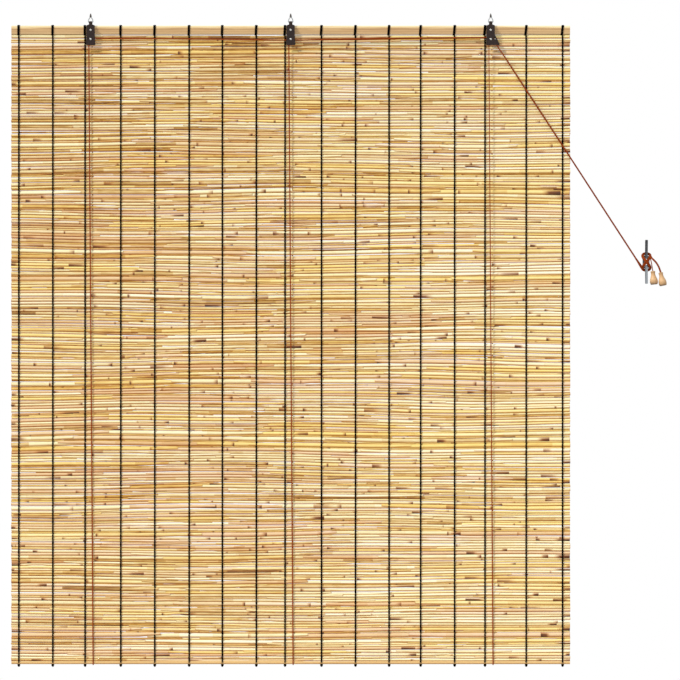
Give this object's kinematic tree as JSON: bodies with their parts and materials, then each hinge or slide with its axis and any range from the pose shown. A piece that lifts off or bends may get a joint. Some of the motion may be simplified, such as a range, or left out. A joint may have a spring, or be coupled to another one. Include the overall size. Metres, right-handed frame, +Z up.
{
  "type": "reed roll up blind",
  "caption": "Reed mat roll-up blind with riveted pulley hangers on screw eyes, lift cords with a roller cord lock, a wall cleat and turned wooden tassels.",
  "frame": {"origin": "on the middle screw eye's axis, where its shank enters the ceiling", "axes": "+Z up out of the ceiling, +X to the right along the head slat, -Y to the room in front"},
  "size_m": [1.6414, 0.0358, 1.6365],
  "materials": {
    "reed": "natural split reed, satin",
    "bamboo_slat": "planed bamboo, satin",
    "bamboo_batten": "planed bamboo, satin",
    "black_cotton": "twined cotton cord",
    "brown_cord": "braided cord",
    "grey_enamel": "dark grey-brown stoved enamel",
    "zinc_wire": "zinc-plated wire",
    "nickel_rivet": "nickel-plated",
    "steel_small": "plain bright steel",
    "dark_nylon": "moulded nylon",
    "brass_roller": "turned and knurled",
    "cleat_metal": "polished die-cast metal",
    "turned_wood": "turned pale wood, lacquered"
  },
  "bodies": {
    "fixings": {"left_screw_eye": "zinc_wire", "middle_screw_eye": "zinc_wire", "right_screw_eye": "zinc_wire", "cord_cleat": "cleat_metal", "left_pull_cord_lower": "brown_cord", "middle_pull_cord_lower": "brown_cord", "right_pull_cord_lower": "brown_cord", "near_tassel": "turned_wood", "far_tassel": "turned_wood"},
    "blind": {"head_slat": "bamboo_slat", "reed_mat": "reed", "bottom_batten": "bamboo_batten", "warp_cord_01": "black_cotton", "warp_cord_02": "black_cotton", "warp_cord_03": "black_cotton", "warp_cord_04": "black_cotton", "warp_cord_05": "black_cotton", "warp_cord_06": "black_cotton", "warp_cord_07": "black_cotton", "warp_cord_08": "black_cotton", "warp_cord_09": "black_cotton", "warp_cord_10": "black_cotton", "warp_cord_11": "black_cotton", "warp_cord_12": "black_cotton", "warp_cord_13": "black_cotton", "warp_cord_14": "black_cotton", "warp_cord_15": "black_cotton", "warp_cord_16": "black_cotton", "warp_cord_17": "black_cotton", "left_case": "grey_enamel", "middle_case": "grey_enamel", "right_case": "grey_enamel", "left_axle_rivet": "nickel_rivet", "middle_axle_rivet": "nickel_rivet", "right_axle_rivet": "nickel_rivet", "left_fixing_rivet": "nickel_rivet", "middle_fixing_rivet": "nickel_rivet", "right_fixing_rivet": "nickel_rivet", "left_spacer": "steel_small", "middle_spacer": "steel_small", "right_spacer": "steel_small", "left_washer": "steel_small", "middle_washer": "steel_small", "right_washer": "steel_small", "left_lift_cord": "brown_cord", "middle_lift_cord": "brown_cord", "right_lift_cord": "brown_cord", "left_pull_cord_upper": "brown_cord", "middle_pull_cord_upper": "brown_cord", "right_pull_cord_upper": "brown_cord"},
    "left_sheave": {"left_sheave": "dark_nylon"},
    "middle_sheave": {"middle_sheave": "dark_nylon"},
    "right_sheave": {"right_sheave": "dark_nylon"},
    "lock_pin": {"lock_pin": "steel_small"},
    "lock_roller": {"lock_roller": "brass_roller"}
  },
  "joints": [
    {"name": "blind_swing", "type": "hinge", "parent": "fixings", "child": "blind", "pos_m": [0, 0, -0.0139], "axis": [1, 0, 0], "range_deg": [-30, 30]},
    {"name": "left_sheave_spin", "type": "hinge", "parent": "blind", "child": "left_sheave", "pos_m": [-0.501, 0, -0.0567], "axis": [0, 1, 0], "continuous": true},
    {"name": "middle_sheave_spin", "type": "hinge", "parent": "blind", "child": "middle_sheave", "pos_m": [0, 0, -0.0567], "axis": [0, 1, 0], "continuous": true},
    {"name": "right_sheave_spin", "type": "hinge", "parent": "blind", "child": "right_sheave", "pos_m": [0.501, 0, -0.0567], "axis": [0, 1, 0], "continuous": true},
    {"name": "lock_slide", "type": "slide", "parent": "blind", "child": "lock_pin", "axis": [-0.6886, 0, 0.7251], "range_m": [0, 0.005]},
    {"name": "lock_roller_spin", "type": "hinge", "parent": "lock_pin", "child": "lock_roller", "pos_m": [0.51179, 0, -0.05612], "axis": [0, 1, 0], "continuous": true}
  ],
  "couplings": [
    {"joint": "left_sheave_spin", "follows": "right_sheave_spin", "ratio": 1},
    {"joint": "middle_sheave_spin", "follows": "right_sheave_spin", "ratio": 1}
  ]
}
